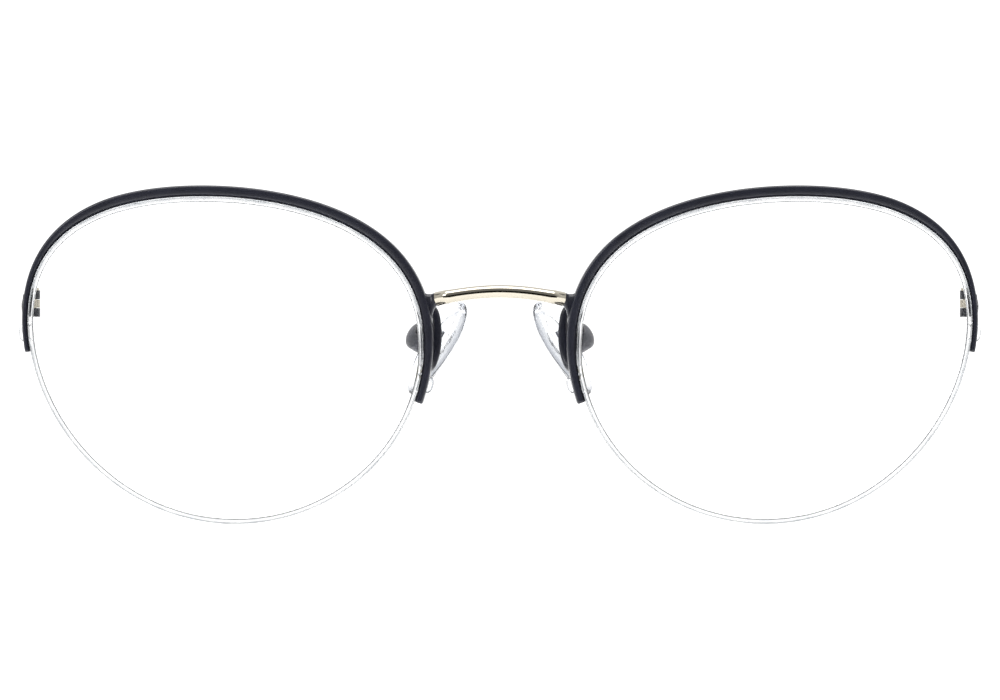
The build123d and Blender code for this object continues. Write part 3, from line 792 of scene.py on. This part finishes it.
class EYEGLASS_OT_pads(bpy.types.Operator):
    """Pad arms, boxes, screws, cores and soft pads"""
    bl_idname = "eyeglass.pads"
    bl_label = "Nose pads"

    def execute(self, context):
        paint = finishes()
        for name, side in SIDES.items():
            soft, tone = pad_shell(side, settings().pad_crown)
            make_piece(name + "_soft_pad", [soft], name + "_nose_pad", paint["clear_pad"],
                       None, tone)
            make_piece(name + "_pad_cup", [box_shell(side)], name + "_pad_box",
                       paint["grey_enamel"], 40)
            make_piece(name + "_pad_wire", [wire_shell(side)], name + "_pad_arm",
                       paint["navy_enamel"])
            make_piece(name + "_pad_pin", [screw_shell(side)], name + "_pad_screw",
                       paint["pale_gold"], 35)
            # Pad cores take the pad metal, whose ribs are painted shade and painted highlight
            repaint(name + "_pad_core", paint["pad_metal"])
        return {"FINISHED"}


# ---------------------------------------------------------------- endpieces, hinges and temples

def from_hinge(points):
    """From the hinge's own axes, outboard, rearward and up, splayed about the screw."""
    out, back, up = points[..., 0], points[..., 1], points[..., 2]
    x = FOLD[0] + out * math.cos(SPLAY) + back * math.sin(SPLAY)
    y = FOLD[1] - out * math.sin(SPLAY) + back * math.cos(SPLAY)
    return np.stack([x, y, FOLD[2] + up], -1)


def bar_rings(back, half_out, half_up, middle_out=ARM_MIDDLE, up=0.0, power=4.0, count=28):
    """Flat bar along the hinge's rearward axis with rounded edges; sizes may change on the way."""
    section = superellipse(1.0, 1.0, power, count)
    back = np.asarray(back, float)
    out = middle_out + np.multiply.outer(half_out + 0 * back, section[:, 0])
    rise = np.asarray(up)[..., None] + np.multiply.outer(half_up + 0 * back, section[:, 1])
    return np.stack([out, np.broadcast_to(back[:, None], out.shape), rise + 0 * out], -1)


def blunt(back, radius):
    """Share of full size near the two ends of a bar: a quarter circle."""
    gap = np.minimum(back - back[0], back[-1] - back)
    return np.sqrt(np.clip(1 - (1 - np.clip(gap / radius, 0, 1)) ** 2, 0, 1))


def end_bar_shell(name, side):
    """Endpiece: a short bar from the rim to just before the hinge, with blunt ends."""
    low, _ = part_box(name + "_endpiece")
    reach = FOLD[1] - low[1] / MM
    back = np.concatenate([[-reach + 0.04], np.linspace(0.1 - reach, -0.08, 40), [-0.03]])
    size = 0.82 + 0.18 * blunt(back, 0.5)
    rings = bar_rings(back, ARM_HALF_THICK * size, ARM_HALF_HEIGHT * size)
    return skin(mirrored(from_hinge(rings), side))


def temple_shell(side):
    """Temple arm: a bar that loses height by one smooth step on its way to the ear."""
    back = np.concatenate([[0.03], np.linspace(0.08, ARM_END - 0.5, 160), [ARM_END - 0.1, ARM_END]])
    tall = ARM_HALF_HEIGHT - ARM_END_DROP * ease((back - 7.6) / 52.4)
    size = 0.85 + 0.15 * blunt(back, 0.5)
    return skin(mirrored(from_hinge(bar_rings(back, ARM_HALF_THICK * size, tall * size)), side))


class EYEGLASS_OT_temples(bpy.types.Operator):
    """Endpieces, hinges, temple arms and clear tips"""
    bl_idname = "eyeglass.temples"
    bl_label = "Temples"

    def execute(self, context):
        paint = finishes()
        for name, side in SIDES.items():
            make_piece(name + "_end_bar", [end_bar_shell(name, side)], name + "_endpiece",
                       paint["navy_enamel"], 50)
            make_piece(name + "_temple_arm", [temple_shell(side)], name + "_temple",
                       paint["gold_arm"], 50)
            repaint(name + "_hinge_front", paint["navy_enamel"])
            repaint(name + "_hinge_temple", paint["gold_arm"])
            repaint(name + "_hinge_screw", paint["gold_arm"])
            make_piece(name + "_ear_cover", [tip_shell(side)], name + "_temple_tip",
                       paint["clear_acetate"])
        return {"FINISHED"}


def tip_shell(side):
    """Rounded cover carried along a line that runs straight over the arm, then bends down behind
    the ear on one smooth curve."""
    low, _ = node_box("right_temple_tip")
    half = TIP_HALF_HEIGHT
    floor = float(low[2]) - FOLD[2] + half * 0.72
    run = -floor / math.tan(math.radians(46.0)) + 0.5
    points = [(0, 72, 0), (0, 78, 0), (0, 84, 0), (0, 89, 0), (0, 94, -0.6), (0, 99, -3.6),
              (0, 96 + run * 0.4, floor * 0.4), (0, 96 + run * 0.65, floor * 0.65), (0, 96 + run, floor)]
    line = smooth_path(np.array(points) + [ARM_MIDDLE, 0, 0], 200)
    path, size = round_ended(line, 0.9, 120)
    share = np.linspace(0, 1, len(path))
    wide = 1.1 + 0.08 * ease((share - 0.5) / 0.4)
    tall = 1.65 + (half - 1.65) * ease((share - 0.45) / 0.4)
    section = superellipse(1.0, 1.0, 2.6, 28) * np.stack([wide * size, tall * size], -1)[:, None]
    return skin(mirrored(from_hinge(carried(path, section, (1, 0, 0))), side))


# ---------------------------------------------------------------- stage

def area_light(name, place, target, size, power):
    """Rectangular lamp that faces a target."""
    light = bpy.data.lights.new(name, "AREA")
    light.shape = "RECTANGLE"
    light.size, light.size_y = size
    light.energy = power
    lamp = bpy.data.objects.new(name, light)
    lamp.location = place
    lamp.rotation_euler = (Vector(target) - Vector(place)).to_track_quat("-Z", "Y").to_euler()
    bpy.context.scene.collection.objects.link(lamp)


def stage_sheet(name, corners, material_name, colour):
    """Flat sheet with a matt material of its own; gives the sheet and the shader's sockets."""
    mesh = bpy.data.meshes.new(name)
    mesh.from_pydata(corners, [], [(0, 1, 2, 3)])
    sheet = bpy.data.objects.new(name, mesh)
    bpy.context.scene.collection.objects.link(sheet)
    material = bpy.data.materials.new(material_name)
    material.use_nodes = True
    mesh.materials.append(material)
    sockets = material.node_tree.nodes["Principled BSDF"].inputs
    sockets["Base Color"].default_value = (*colour, 1)
    sockets["Specular IOR Level"].default_value = 0.0
    return sheet, sockets


def pale_floor():
    """White floor that glows a little, so that it hardly shades toward its far end."""
    reach = FLOOR_REACH
    corners = [(-reach, -reach, 0), (reach, -reach, 0), (reach, reach, 0), (-reach, reach, 0)]
    _, sockets = stage_sheet("floor", corners, "pale_floor", (0.9, 0.9, 0.9))
    sockets["Roughness"].default_value = 0.9
    sockets["Emission Color"].default_value = (1, 1, 1, 1)
    sockets["Emission Strength"].default_value = 0.62


def dark_card():
    """Dark card before the lenses that only reflections show."""
    near = CAD_BOX[0][1] - CARD_AHEAD
    corners = [(-CARD_HALF_WIDTH, near, CARD_LOW), (CARD_HALF_WIDTH, near, CARD_LOW),
               (CARD_HALF_WIDTH, near, CARD_HIGH), (-CARD_HALF_WIDTH, near, CARD_HIGH)]
    card, _ = stage_sheet("dark_card", corners, "dark_card", (0.012, 0.011, 0.01))
    card.visible_camera = False
    card.visible_diffuse = False
    card.visible_transmission = False
    card.visible_shadow = False


def studio_world(scene):
    """White surroundings, dimmer behind the camera than ahead of it by a straight ramp."""
    world = bpy.data.worlds.new("studio")
    scene.world = world
    world.use_nodes = True
    tree = world.node_tree
    coords = tree.nodes.new("ShaderNodeTexCoord")
    split = tree.nodes.new("ShaderNodeSeparateXYZ")
    tree.links.new(coords.outputs["Generated"], split.inputs["Vector"])
    ramp = tree.nodes.new("ShaderNodeMapRange")
    for socket, value in (("From Min", -0.75), ("From Max", 0.1), ("To Min", 0.35), ("To Max", 1.3)):
        ramp.inputs[socket].default_value = value
    tree.links.new(split.outputs["Y"], ramp.inputs["Value"])
    tree.links.new(ramp.outputs["Result"], tree.nodes["Background"].inputs["Strength"])
    tree.nodes["Background"].inputs["Color"].default_value = (1, 1, 1, 1)


def front_camera(scene):
    """Level camera before the lenses, its lens long enough for the view width set there."""
    front = -0.5 * (CAD_BOX[1][1] - CAD_BOX[0][1])
    away = settings().camera_distance
    data = bpy.data.cameras.new("camera")
    data.sensor_width = SENSOR_WIDTH
    data.lens = SENSOR_WIDTH * away / settings().view_width
    data.clip_end = 100
    camera = bpy.data.objects.new("camera", data)
    camera.location = (0, front - away, CAMERA_HEIGHT)
    camera.rotation_euler = (math.pi / 2, 0, 0)
    scene.collection.objects.link(camera)
    scene.camera = camera


class EYEGLASS_OT_stage(bpy.types.Operator):
    """Pale floor, soft light and the camera"""
    bl_idname = "eyeglass.stage"
    bl_label = "Stage"

    def execute(self, context):
        context.scene.view_settings.view_transform = "Standard"
        pale_floor()
        studio_world(context.scene)
        dark_card()
        middle = (0, -0.04, 0.025)
        area_light("top_softbox", (0, -0.25, 0.9), middle, (1.0, 0.5), 9)
        area_light("key_softbox", (-0.9, -0.8, 0.7), middle, (0.5, 0.5), 5)
        front_camera(context.scene)
        return {"FINISHED"}


# ---------------------------------------------------------------- panel and run

class EYEGLASS_PT_panel(bpy.types.Panel):
    """Buttons that build each group of pieces, and their settings"""
    bl_label = "Eyeglasses"
    bl_idname = "EYEGLASS_PT_panel"
    bl_space_type = "VIEW_3D"
    bl_region_type = "UI"
    bl_category = "Eyeglasses"

    def draw(self, context):
        for operator in OPERATORS:
            self.layout.operator(operator.bl_idname)
        for key in EyeglassSettings.__annotations__:
            self.layout.prop(context.scene.eyeglass_settings, key)


OPERATORS = (EYEGLASS_OT_stage, EYEGLASS_OT_rims, EYEGLASS_OT_bridge, EYEGLASS_OT_lenses,
             EYEGLASS_OT_nylon, EYEGLASS_OT_pads, EYEGLASS_OT_temples)
CLASSES = (EyeglassSettings, *OPERATORS, EYEGLASS_PT_panel)


def register():
    """Add the classes and the scene's settings."""
    for cls in CLASSES:
        bpy.utils.register_class(cls)
    bpy.types.Scene.eyeglass_settings = bpy.props.PointerProperty(type=EyeglassSettings)


def unregister():
    """Take them away again."""
    del bpy.types.Scene.eyeglass_settings
    for cls in reversed(CLASSES):
        bpy.utils.unregister_class(cls)


def main():
    """Build everything."""
    register()
    bpy.ops.eyeglass.stage()
    bpy.ops.eyeglass.rims()
    bpy.ops.eyeglass.bridge()
    bpy.ops.eyeglass.lenses()
    bpy.ops.eyeglass.nylon()
    bpy.ops.eyeglass.pads()
    bpy.ops.eyeglass.temples()


if __name__ == "__main__":
    main()
